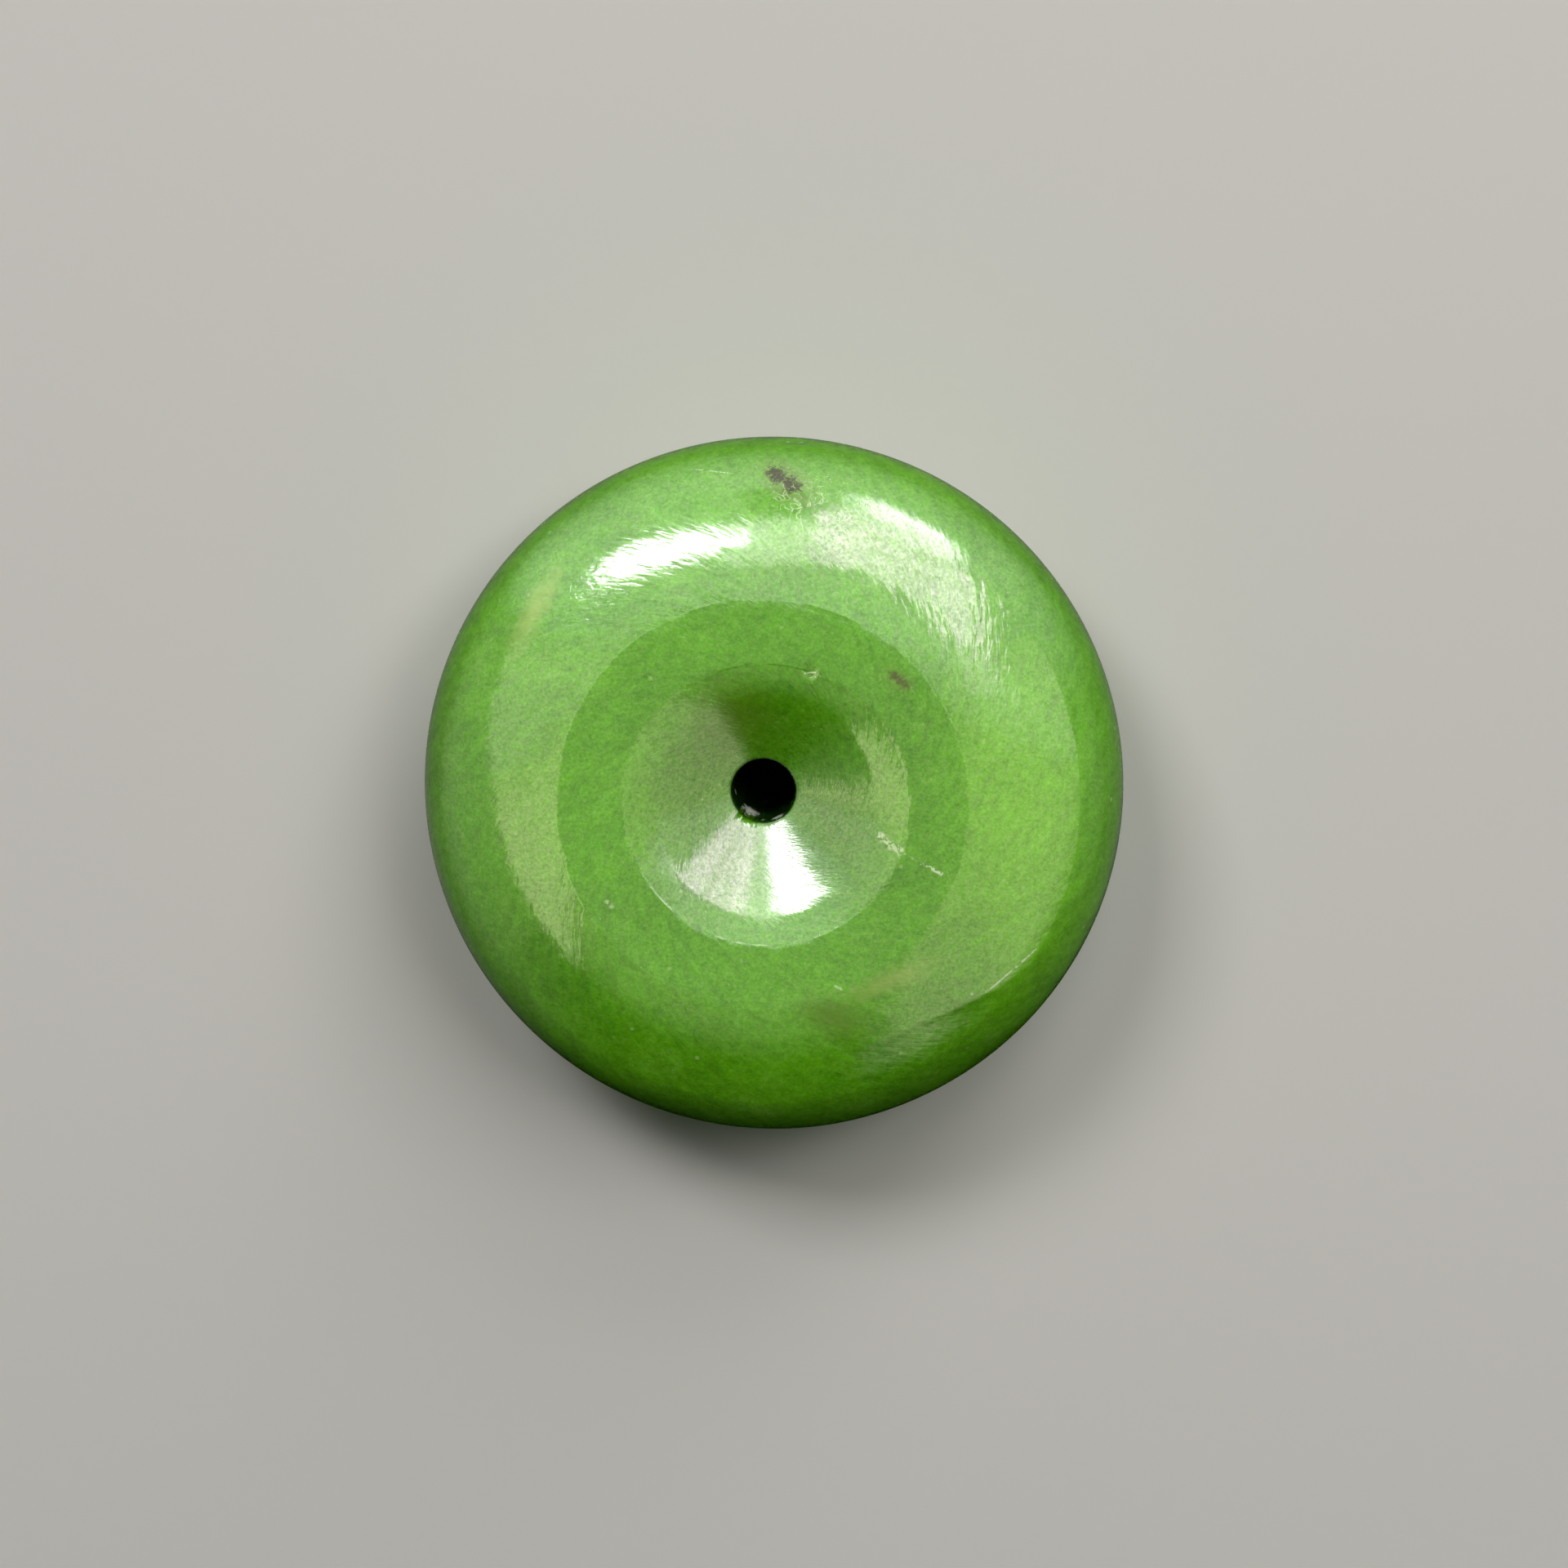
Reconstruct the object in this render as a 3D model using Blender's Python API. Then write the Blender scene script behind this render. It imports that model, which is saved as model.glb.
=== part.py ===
"""Jade donut pendant: one disc of green nephrite, ground round, countersunk from both faces and drilled through.

Metres, +Z up. The disc lies on its underside, and the origin is the centre of that underside.
The profile is worked out in millimetres as slopes, the way the stone was ground:
bore, funnel, eased lip, narrow flat land, domed face, soft shoulder, full round rim.
"""

import math

import bmesh
import bpy
from mathutils import Vector

MM = 0.001

# Overall size
OUTER_R = 13.0  # half the 26 mm diameter
THICKNESS = 9.2
OUT_OF_ROUND = 0.02  # the hand-ground outline is this much over and under its mean radius
LONG_AXIS_DEG = 24.0  # direction in plan of the longer diameter

# Bore, drilled through from the two funnels
BORE_R = 1.15
BORE_LEAD = 0.06  # the mouth's edge is eased over this much radius
BORE_SHIFT = (-0.17, 0.28)  # the drill ran this much off centre, in plan

# Funnel and its eased lip, on each face
FUNNEL_R = 4.0
FUNNEL_SLOPE = 26.5  # degrees from the face
LIP_R = 5.12
LIP_SLOPE_IN = 17.0  # where the lip meets the funnel
LIP_SLOPE = 9.5

# Flat land that the disc rests on, with a slight fall inside it
LAND_IN_R = 5.95
LAND_IN_SLOPE = 5.0
LAND_OUT_R = 7.48

# Domed face, from the land out to the shoulder
DOME_SLOPE_IN = 6.0
SHOULDER_R = 11.35
DOME_SLOPE_OUT = 33.0

# Full round rim, from the shoulder to the widest point
RIM_START_DEG = 41.0

SEGMENTS = 96


def fallen(r_from, r_to, slope_from, slope_to, steps):
    """Heights lost from r_from to r_to where the slope changes evenly, as (radius, drop so far)."""
    points, drop, fine = [], 0.0, 40
    for k in range(steps * fine):
        t = (k + 0.5) / (steps * fine)
        slope = math.radians(slope_from + (slope_to - slope_from) * t)
        drop += math.tan(slope) * abs(r_to - r_from) / (steps * fine)
        if (k + 1) % fine == 0:
            done = (k + 1) / (steps * fine)
            points.append((r_from + (r_to - r_from) * done, drop))
    return points


def inner_half(top):
    """From the land's inner edge down to the bore's mouth, at the upper face."""
    line = [(LAND_IN_R, top)]
    for r_to, slope_from, slope_to, steps in (
        (LIP_R, 0.0, LAND_IN_SLOPE, 2),
        (FUNNEL_R, LIP_SLOPE, LIP_SLOPE_IN, 3),
        (BORE_R + BORE_LEAD, FUNNEL_SLOPE, FUNNEL_SLOPE, 3),
        (BORE_R, 45.0, 80.0, 2),
    ):
        r_from, z = line[-1]
        line += [
            (r, z - drop)
            for r, drop in fallen(r_from, r_to, slope_from, slope_to, steps)
        ]
    return line


def outer_half(top):
    """From the land's outer edge over the dome and shoulder to the widest point, at half height."""
    line = [(LAND_OUT_R, top)]
    line += [
        (r, top - drop)
        for r, drop in fallen(
            LAND_OUT_R, SHOULDER_R, DOME_SLOPE_IN, DOME_SLOPE_OUT, 6
        )
    ]
    shoulder = line[-1][1]
    start = math.radians(RIM_START_DEG)
    steps = 7
    for k in range(1, steps + 1):
        s = start + (math.pi / 2 - start) * k / steps
        across = (math.sin(s) - math.sin(start)) / (1 - math.sin(start))
        line.append(
            (
                SHOULDER_R + (OUTER_R - SHOULDER_R) * across,
                shoulder * math.cos(s) / math.cos(start),
            )
        )
    return line


def profile():
    """The closed outline in the (radius, height) plane about the disc's middle height."""
    top = THICKNESS / 2
    inner, outer = inner_half(top), outer_half(top)
    upper = list(reversed(inner)) + outer  # bore's mouth out to the widest point
    lower = [(r, -z) for r, z in reversed(upper[:-1])]
    return upper + lower


def hand_ground(point):
    """Moves a point of the true turned shape to where the hand-ground one has it."""
    r = math.hypot(point.x, point.y)
    turn = math.atan2(point.y, point.x) - math.radians(LONG_AXIS_DEG)
    outwards = min(1.0, max(0.0, (r - LAND_OUT_R) / (OUTER_R - LAND_OUT_R)))
    inwards = min(1.0, max(0.0, (FUNNEL_R - r) / (FUNNEL_R - BORE_R)))
    stretch = 1 + OUT_OF_ROUND / OUTER_R * math.cos(2 * turn) * outwards
    return Vector(
        (
            point.x * stretch + BORE_SHIFT[0] * inwards,
            point.y * stretch + BORE_SHIFT[1] * inwards,
            point.z,
        )
    )


def jade():
    material = bpy.data.materials.new("jade")
    material.use_nodes = True
    shader = material.node_tree.nodes["Principled BSDF"]
    shader.inputs["Base Color"].default_value = (0.14, 0.36, 0.05, 1)
    shader.inputs["Roughness"].default_value = 0.16
    shader.inputs["Metallic"].default_value = 0.0
    shader.inputs["IOR"].default_value = 1.62
    material.diffuse_color = (0.14, 0.36, 0.05, 1)
    return material


def donut():
    mesh = bpy.data.meshes.new("jade_donut")
    bm = bmesh.new()
    outline = profile()
    ring = [bm.verts.new((r, 0.0, z + THICKNESS / 2)) for r, z in outline]
    edges = [bm.edges.new((a, b)) for a, b in zip(ring, ring[1:] + ring[:1])]
    bmesh.ops.spin(
        bm,
        geom=ring + edges,
        cent=(0, 0, 0),
        axis=(0, 0, 1),
        angle=2 * math.pi,
        steps=SEGMENTS,
        use_merge=True,
    )
    bmesh.ops.remove_doubles(bm, verts=bm.verts, dist=1e-4)
    for v in bm.verts:
        v.co = hand_ground(v.co) * MM
    bmesh.ops.recalc_face_normals(bm, faces=bm.faces)
    bm.to_mesh(mesh)
    bm.free()
    mesh.shade_smooth()
    mesh.set_sharp_from_angle(angle=math.radians(30))
    mesh.materials.append(jade())
    made = bpy.data.objects.new("jade_donut", mesh)
    bpy.context.scene.collection.objects.link(made)
    return made


def main():
    for old in list(bpy.data.objects):
        bpy.data.objects.remove(old)
    bpy.context.scene.unit_settings.system = "METRIC"
    bpy.context.scene.unit_settings.scale_length = 1.0
    donut()


main()
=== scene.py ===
"""Looks of the jade donut pendant: the hand-ground stone at full fineness, its nephrite, and a plain studio.

Lengths are worked out in millimetres and turned into metres when a mesh is made.
"""

import math

import bmesh
import bpy
import numpy as np
from mathutils import Matrix, Vector, noise


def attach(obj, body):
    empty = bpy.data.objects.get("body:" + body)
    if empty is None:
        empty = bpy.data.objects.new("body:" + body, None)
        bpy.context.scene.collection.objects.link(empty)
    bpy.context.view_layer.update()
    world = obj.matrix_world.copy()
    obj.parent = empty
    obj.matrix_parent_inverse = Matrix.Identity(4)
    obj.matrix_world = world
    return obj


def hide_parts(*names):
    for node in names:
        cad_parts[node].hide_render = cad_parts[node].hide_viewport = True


MM = 0.001

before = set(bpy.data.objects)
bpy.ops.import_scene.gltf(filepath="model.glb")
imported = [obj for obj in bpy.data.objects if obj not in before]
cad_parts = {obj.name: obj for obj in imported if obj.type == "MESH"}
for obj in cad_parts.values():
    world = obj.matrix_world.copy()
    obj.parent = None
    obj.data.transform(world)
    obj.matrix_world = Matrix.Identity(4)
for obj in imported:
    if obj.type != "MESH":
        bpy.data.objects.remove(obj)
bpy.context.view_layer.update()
scene = bpy.context.scene


# ---------------------------------------------------------------- the turned profile, as the CAD has it

OUTER_R = 13.0
THICKNESS = 9.2
OUT_OF_ROUND = 0.02
LONG_AXIS_DEG = 24.0
BORE_R = 1.15
BORE_LEAD = 0.06
BORE_SHIFT = (-0.17, 0.28)
FUNNEL_R = 4.0
FUNNEL_SLOPE = 26.5
LIP_R = 5.12
LIP_SLOPE_IN = 19.5
LIP_SLOPE = 9.5
LAND_IN_R = 5.95
LAND_IN_SLOPE = 5.0
LAND_OUT_R = 7.48
DOME_SLOPE_IN = 6.0
SHOULDER_R = 11.35
DOME_SLOPE_OUT = 33.0
RIM_START_DEG = 41.0

# Seen only close to: two fine lines where one grinding pass met the next, as (radius, half width, slope in degrees)
LIP_LINE = (LIP_R, 0.024, -23.0)
LAND_LINE = (LAND_OUT_R, 0.018, 15.0)
FACE_SHIFT = (-0.12, -0.02)  # the land was ground this much off the outline's centre

SEGMENTS = 400


def blended(a, b, t):
    return a + (b - a) * t


def slope_at(r):
    """The upper face's fall in degrees at a radius: plus falls outwards, minus falls towards the bore."""
    for line_r, half, slope in (LIP_LINE, LAND_LINE):
        if abs(r - line_r) < half:
            return slope
    if r < BORE_R + BORE_LEAD:
        return -blended(80, 40, (r - BORE_R) / BORE_LEAD)
    if r < FUNNEL_R - 0.1:
        return -FUNNEL_SLOPE
    if r < FUNNEL_R + 0.15:
        return -blended(FUNNEL_SLOPE, LIP_SLOPE_IN, (r - FUNNEL_R + 0.1) / 0.25)
    if r < LIP_R:
        return -blended(LIP_SLOPE_IN, LIP_SLOPE, (r - FUNNEL_R) / (LIP_R - FUNNEL_R))
    if r < LAND_IN_R:
        return -blended(LAND_IN_SLOPE, 0, (r - LIP_R) / (LAND_IN_R - LIP_R))
    if r < LAND_OUT_R:
        return 0.0
    return blended(
        DOME_SLOPE_IN,
        DOME_SLOPE_OUT,
        (r - LAND_OUT_R) / (SHOULDER_R - LAND_OUT_R),
    )


def spaced(stops):
    """Radii between stops of (radius, step), each stretch evenly divided."""
    radii = []
    for (r0, step), (r1, _) in zip(stops, stops[1:]):
        n = max(1, round((r1 - r0) / step))
        radii += [r0 + (r1 - r0) * k / n for k in range(n)]
    return radii + [stops[-1][0]]


def half_profile(stops, rim_steps):
    """Upper half of the outline from the bore's mouth to the widest point, as arrays of radius and height."""
    radii = spaced(stops)
    top = THICKNESS / 2
    start = next(k for k, r in enumerate(radii) if r >= (LAND_IN_R + LAND_OUT_R) / 2)
    heights = [top] * len(radii)

    def drop(r0, r1):
        parts = 24
        return sum(
            math.tan(math.radians(slope_at(r0 + (r1 - r0) * (k + 0.5) / parts)))
            * (r1 - r0)
            / parts
            for k in range(parts)
        )

    for k in range(start + 1, len(radii)):
        heights[k] = heights[k - 1] - drop(radii[k - 1], radii[k])
    for k in range(start - 1, -1, -1):
        heights[k] = heights[k + 1] + drop(radii[k], radii[k + 1])
    shoulder, first = heights[-1], math.radians(RIM_START_DEG)
    for k in range(1, rim_steps + 1):
        s = first + (math.pi / 2 - first) * k / rim_steps
        across = (math.sin(s) - math.sin(first)) / (1 - math.sin(first))
        radii.append(SHOULDER_R + (OUTER_R - SHOULDER_R) * across)
        heights.append(shoulder * math.cos(s) / math.cos(first))
    return np.array(radii), np.array(heights)


def outline():
    """The closed outline, upper face first, bore wall last."""
    fine = [
        (BORE_R, 0.03),
        (BORE_R + BORE_LEAD, 0.10),
        (BORE_R + 0.6, 0.13),
        (FUNNEL_R - 0.16, 0.045),
        (FUNNEL_R + 0.2, 0.10),
        (LIP_R - LIP_LINE[1] - 0.04, 0.04),
        (LIP_R - LIP_LINE[1], LIP_LINE[1]),
        (LIP_R + LIP_LINE[1], 0.04),
        (LIP_R + LIP_LINE[1] + 0.04, 0.12),
        (LAND_OUT_R - LAND_LINE[1] - 0.04, 0.04),
        (LAND_OUT_R - LAND_LINE[1], LAND_LINE[1]),
        (LAND_OUT_R + LAND_LINE[1], 0.05),
        (LAND_OUT_R + 0.12, 0.085),
        (SHOULDER_R - 0.08, 0.04),
        (SHOULDER_R, 1),
    ]
    plain = [
        (BORE_R, 0.03),
        (BORE_R + BORE_LEAD, 0.30),
        (FUNNEL_R - 0.16, 0.08),
        (FUNNEL_R + 0.2, 0.16),
        (LIP_R - LIP_LINE[1], LIP_LINE[1]),
        (LIP_R + LIP_LINE[1], 0.22),
        (LAND_OUT_R - LAND_LINE[1], LAND_LINE[1]),
        (LAND_OUT_R + LAND_LINE[1], 0.17),
        (SHOULDER_R - 0.06, 0.06),
        (SHOULDER_R, 1),
    ]
    upper = half_profile(fine, 26)
    lower = half_profile(plain, 16)
    r = np.concatenate([upper[0], lower[0][::-1][1:]])
    z = np.concatenate([upper[1], -lower[1][::-1][1:]])
    walls = 14
    t = (np.arange(1, walls) / walls)[:, None]
    a, b = np.array([[r[-1], z[-1]]]), np.array([[r[0], z[0]]])
    wall = a + (b - a) * t
    widest, foot = len(upper[0]) - 1, len(r) - 1
    return np.concatenate([r, wall[:, 0]]), np.concatenate([z, wall[:, 1]]), widest, foot


def smooth(value, lo, hi):
    t = np.clip((value - lo) / (hi - lo), 0, 1)
    return t * t * (3 - 2 * t)


def noise_at(points, scale, seed):
    shift = Vector((seed * 17.3, seed * 5.1, -seed * 9.7))
    return np.array([noise.noise(Vector(p) * scale + shift) for p in points])


def facet_crease(radius, azimuth):
    """Drop of the face beyond a soft facet at the lower right, which runs inwards from the shoulder."""
    at = 9.75 + 1.75 * smooth(azimuth, -58, -26)
    strength = smooth(azimuth, -82, -60) * (1 - smooth(azimuth, -30, -18))
    beyond = np.maximum(radius - at, 0)
    return 0.17 * 0.5 * (1 - np.exp(-beyond / 0.5)) * strength


def eased(radius, r0, r1, slope0, slope1):
    """Height to add to the upper face where a grinding pass was eased into an even slope from r0 to r1."""
    table = np.linspace(r0, r1, 160)
    was = np.array([math.tan(math.radians(slope_at(r))) for r in table])
    now = np.tan(np.radians(slope0 + (slope1 - slope0) * (table - r0) / (r1 - r0)))
    step = table[1] - table[0]
    lost = np.concatenate([[0], np.cumsum((now - was)[1:] + (now - was)[:-1]) * step / 2])
    lost -= lost[-1] * smooth(table, r0, r1)  # both ends stay where they were
    return -np.interp(radius, table, lost, 0.0, 0.0)


def bake_map(mesh, r, z, widest, foot):
    """Flat layout: the upper face as a large disc, the underside as a smaller one, the bore wall as a strip."""
    m = SEGMENTS
    layer = mesh.uv_layers.new(name="OFBake")
    vertex = np.empty(len(mesh.loops), dtype=np.int64)
    mesh.loops.foreach_get("vertex_index", vertex)
    face = np.repeat(np.arange(len(mesh.polygons)), 4)
    ring, column = face // m, face % m
    i, j = vertex // m, vertex % m
    length = np.concatenate([[0], np.cumsum(np.hypot(np.diff(r), np.diff(z)))])
    turn = j * 2 * math.pi / m
    out = BORE_R + length[i]
    back = BORE_R + length[foot] - length[np.minimum(i, foot)]
    reach = BORE_R + length[widest]
    upper, wall = ring < widest, ring >= foot
    u = np.where(upper, 0.350 + 0.345 * out / reach * np.cos(turn), 0.775 + 0.215 * back / reach * np.cos(turn))
    v = np.where(upper, 0.350 + 0.345 * out / reach * np.sin(turn), 0.775 - 0.215 * back / reach * np.sin(turn))
    last = np.where((column == m - 1) & (j == 0), m, j) / m
    down = np.where(i == 0, len(r), i)
    u = np.where(wall, 0.73 + 0.25 * last, u)
    v = np.where(wall, 0.03 + 0.20 * (down - foot) / (len(r) - foot), v)
    layer.data.foreach_set("uv", np.stack([u, v], 1).astype(np.float32).ravel())


def donut_mesh():
    r, z, widest, foot = outline()
    n, m = len(r), SEGMENTS
    angle = np.arange(m) * 2 * math.pi / m
    rr = np.repeat(r, m)
    zz = np.repeat(z, m)
    aa = np.tile(angle, n)
    x, y = rr * np.cos(aa), rr * np.sin(aa)

    # out of round, and the drill's run-out, as the CAD has them
    outwards = np.clip((rr - LAND_OUT_R) / (OUTER_R - LAND_OUT_R), 0, 1)
    inwards = np.clip((FUNNEL_R - rr) / (FUNNEL_R - BORE_R), 0, 1)
    stretch = 1 + OUT_OF_ROUND / OUTER_R * outwards * np.cos(
        2 * (aa - math.radians(LONG_AXIS_DEG))
    )
    midway = smooth(rr, 5.4, 7.0) * (1 - smooth(rr, 8.0, 10.5))
    x = x * stretch + BORE_SHIFT[0] * inwards + FACE_SHIFT[0] * midway
    y = y * stretch + BORE_SHIFT[1] * inwards + FACE_SHIFT[1] * midway

    # the hand-held lap: long slow waves, and shorter ones across them, none of them standing proud of the land
    points = np.stack([x, y, zz + THICKNESS / 2], 1)
    degrees = (np.degrees(aa) + 180) % 360 - 180
    up = zz > 0
    zz = zz - np.where(up, facet_crease(rr, degrees), 0)
    top = smooth(degrees, 22, 62) * (1 - smooth(degrees, 128, 160))
    zz = zz + np.where(up, top, 0.35) * np.sign(zz) * (
        eased(rr, 7.0, 8.7, 0.0, slope_at(8.7)) + eased(rr, 3.1, 4.9, -FUNNEL_SLOPE, slope_at(4.9))
    ) * (rr > BORE_R + 0.1)
    below = smooth(degrees, -150, -110) * (1 - smooth(degrees, -60, -30))
    zz = zz + np.where(up, below, 0) * eased(rr, 7.2, 8.2, 0.0, slope_at(8.2))
    waves = 0.016 * noise_at(points, 0.17, 1) + 0.0026 * noise_at(points, 0.62, 2)
    on_face = smooth(rr, BORE_R + 0.1, 2.5) * (1 - 0.85 * smooth(rr, 5.6, 6.2) * (1 - smooth(rr, 7.3, 8.2)))
    zz = zz + np.sign(zz) * (waves - 0.012) * on_face * smooth(np.abs(zz), 0.5, 2.0)

    # the lip's line is broken along its length
    ring = points * 1.0
    ring[:, 2] = 0
    for line_r, half, _ in (LIP_LINE, LAND_LINE):
        for side in (1, -1):
            on = (np.abs(rr - line_r) < half + 0.001) & (np.sign(zz) == side)
            if on.any():
                level = zz[on].mean()
                kept = smooth(noise_at(ring[on], 0.6, 4) + 0.8 * noise_at(ring[on], 2.6, 5), -0.10, 0.22)
                zz[on] = level + (zz[on] - level) * (0.30 + 0.70 * kept)

    # small chips along the bore's mouth, most of them at its lower left
    mouth = (rr < 1.75) & (np.abs(zz) > 1.5)
    at = np.stack([np.cos(aa), np.sin(aa), np.sign(zz)], 1)[mouth]
    bite = np.maximum(noise_at(at, 3.1, 7) + 0.6 * noise_at(at, 8.0, 8) - 0.08, 0)
    lower_left = np.exp(-(((degrees[mouth] + 128) / 52) ** 2))
    bite = bite * (0.03 + 0.20 * lower_left) * (1 - smooth(rr[mouth], BORE_R, 1.42))
    x[mouth] += bite * np.cos(aa[mouth]) * 0.8
    y[mouth] += bite * np.sin(aa[mouth]) * 0.8
    zz[mouth] -= np.sign(zz[mouth]) * bite * 0.45

    # a small chip on the top edge, and one on the lip
    for cx, cy, cz, size, depth in ((0.85, 12.95, 5.4, 0.34, 0.07), (1.6, 4.85, 9.1, 0.26, 0.05)):
        near = np.exp(-(((x - cx) ** 2 + (y - cy) ** 2 + (zz + THICKNESS / 2 - cz) ** 2) / size**2) ** 2)
        pull = near * depth
        far = np.hypot(x, y)
        on_rim = far > 12
        x = x - np.where(on_rim, pull * x / far, 0)
        y = y - np.where(on_rim, pull * y / far, 0)
        zz = zz - np.where(on_rim, 0, pull)

    zz = np.clip(zz, -THICKNESS / 2, THICKNESS / 2)
    points = np.stack([x, y, zz + THICKNESS / 2], 1)

    faces = []
    for i in range(n):
        i2 = (i + 1) % n
        for j in range(m):
            j2 = (j + 1) % m
            faces.append((i * m + j, i2 * m + j, i2 * m + j2, i * m + j2))
    mesh = bpy.data.meshes.new("jade_stone")
    mesh.from_pydata((points * MM).tolist(), [], faces)
    bm = bmesh.new()
    bm.from_mesh(mesh)
    bmesh.ops.recalc_face_normals(bm, faces=bm.faces)
    bm.to_mesh(mesh)
    bm.free()
    mesh.shade_smooth()
    bake_map(mesh, r, z, widest, foot)
    return mesh


# ---------------------------------------------------------------- material


class Net:
    """Short calls for building a shader's nodes."""

    def __init__(self, tree):
        self.tree = tree

    def node(self, kind, **props):
        made = self.tree.nodes.new(kind)
        for name, value in props.items():
            setattr(made, name, value)
        return made

    def feed(self, socket, value):
        if isinstance(value, bpy.types.NodeSocket):
            self.tree.links.new(value, socket)
        elif value is not None:
            socket.default_value = value

    def math(self, operation, a, b=None, c=None, clamp=False):
        made = self.node("ShaderNodeMath", operation=operation, use_clamp=clamp)
        for k, v in enumerate((a, b, c)):
            self.feed(made.inputs[k], v)
        return made.outputs[0]

    def vec(self, operation, a, b=None, scale=None):
        made = self.node("ShaderNodeVectorMath", operation=operation)
        self.feed(made.inputs[0], a)
        self.feed(made.inputs[1], b)
        if scale is not None:
            self.feed(made.inputs["Scale"], scale)
        return made.outputs["Value" if operation in ("LENGTH", "DOT_PRODUCT", "DISTANCE") else "Vector"]

    def xyz(self, x, y, z):
        made = self.node("ShaderNodeCombineXYZ")
        for k, v in enumerate((x, y, z)):
            self.feed(made.inputs[k], v)
        return made.outputs[0]

    def split(self, vector):
        made = self.node("ShaderNodeSeparateXYZ")
        self.feed(made.inputs[0], vector)
        return made.outputs

    def step(self, value, lo, hi, to_lo=0.0, to_hi=1.0):
        made = self.node("ShaderNodeMapRange", interpolation_type="SMOOTHSTEP")
        for name, v in (("Value", value), ("From Min", lo), ("From Max", hi), ("To Min", to_lo), ("To Max", to_hi)):
            self.feed(made.inputs[name], v)
        return made.outputs[0]

    def noise(self, vector, scale, detail=2.0, rough=0.5, warp=0.0, colour=False):
        made = self.node("ShaderNodeTexNoise", noise_dimensions="3D")
        self.feed(made.inputs["Vector"], vector)
        made.inputs["Scale"].default_value = scale
        made.inputs["Detail"].default_value = detail
        made.inputs["Roughness"].default_value = rough
        made.inputs["Distortion"].default_value = warp
        return made.outputs["Color" if colour else "Fac"]

    def cells(self, vector, scale, feature="F1", out="Distance", spread=1.0):
        made = self.node("ShaderNodeTexVoronoi", feature=feature, voronoi_dimensions="3D")
        self.feed(made.inputs["Vector"], vector)
        made.inputs["Scale"].default_value = scale
        made.inputs["Randomness"].default_value = spread
        return made.outputs[out]

    def mix(self, fac, a, b, blend="MIX"):
        made = self.node("ShaderNodeMix", data_type="RGBA", blend_type=blend)
        self.feed(made.inputs[0], fac)
        for k, v in ((6, a), (7, b)):
            self.feed(made.inputs[k], v if isinstance(v, bpy.types.NodeSocket) else (*v, 1.0))
        return made.outputs[2]

    def blendf(self, fac, a, b):
        made = self.node("ShaderNodeMix", data_type="FLOAT")
        self.feed(made.inputs[0], fac)
        self.feed(made.inputs[2], a)
        self.feed(made.inputs[3], b)
        return made.outputs[0]

    def total(self, *values):
        out = values[0]
        for v in values[1:]:
            out = self.math("ADD", out, v)
        return out


def spiral_coords(net, p, lean_deg):
    """Two charts of coordinates that run along and across the grinding marks, and the share of the first.

    The marks lie at lean_deg from the tangent, as a lap leaves them on a turned stone. Each chart is cut
    on the opposite side of the stone, and the share fades from one to the other between the cuts."""
    x, y, z = net.split(p)
    r = net.math("MAXIMUM", net.math("SQRT", net.math("ADD", net.math("MULTIPLY", x, x), net.math("MULTIPLY", y, y))), 0.5)
    ln = net.math("LOGARITHM", r, math.e)
    c, s = math.cos(math.radians(lean_deg)), math.sin(math.radians(lean_deg))
    charts = []
    for sign, lift in ((1.0, 0.0), (-1.0, 40.0)):
        turn = net.math("ARCTAN2", net.math("MULTIPLY", y, sign), net.math("MULTIPLY", x, sign))
        across = net.math("SUBTRACT", net.math("MULTIPLY", ln, c), net.math("MULTIPLY", turn, s))
        along = net.math("ADD", net.math("MULTIPLY", ln, s), net.math("MULTIPLY", turn, c))
        charts.append(
            net.xyz(
                net.math("MULTIPLY", across, 10.0),
                net.math("MULTIPLY", along, 10.0),
                net.math("ADD", net.math("MULTIPLY", z, 0.6), lift),
            )
        )
    share = net.step(net.math("DIVIDE", x, r), -0.35, 0.35)
    return charts, share, r


def strokes(net, charts, share, across, along, detail=2.0, rough=0.5):
    """Short marks: noise squeezed across the grinding direction and drawn out along it, from 0 to 1."""
    made = []
    for chart in charts:
        stretched = net.vec("MULTIPLY", chart, (across, along, 1.0))
        made.append(net.noise(stretched, 1.0, detail, rough))
    return net.blendf(share, made[1], made[0])


def blob(net, p, centre, radii, turn_deg, edge, ragged=None, inner=0.0):
    """A soft-edged patch: 1 inside an ellipsoid about centre, 0 outside, with its edge shifted by ragged."""
    away = net.vec("SUBTRACT", p, centre)
    rotate = net.node("ShaderNodeVectorRotate", rotation_type="Z_AXIS")
    net.feed(rotate.inputs["Vector"], away)
    rotate.inputs["Angle"].default_value = -math.radians(turn_deg)
    scaled = net.vec("DIVIDE", rotate.outputs[0], radii)
    distance = net.vec("LENGTH", scaled)
    if ragged is not None:
        distance = net.math("ADD", distance, ragged)
    return net.step(distance, 1.0 + edge, inner, 0.0, 1.0)


def dash(net, p, a, b, width, ragged, keep=None):
    """A thin mark along the line from a to b, soft across, and broken into dots where keep is given."""
    a, b = Vector(a), Vector(b)
    run = b - a
    away = net.vec("SUBTRACT", p, tuple(a))
    t = net.math("DIVIDE", net.vec("DOT_PRODUCT", away, tuple(run)), run.length_squared)
    t = net.math("MINIMUM", net.math("MAXIMUM", t, 0.0), 1.0)
    off = net.vec("SUBTRACT", away, net.vec("SCALE", tuple(run), scale=t))
    distance = net.math("ADD", net.vec("LENGTH", off), net.math("MULTIPLY", ragged, width))
    mask = net.step(distance, width * 1.6, width * 0.4, 0.0, 1.0)
    return mask if keep is None else net.math("MULTIPLY", mask, keep)


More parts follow.
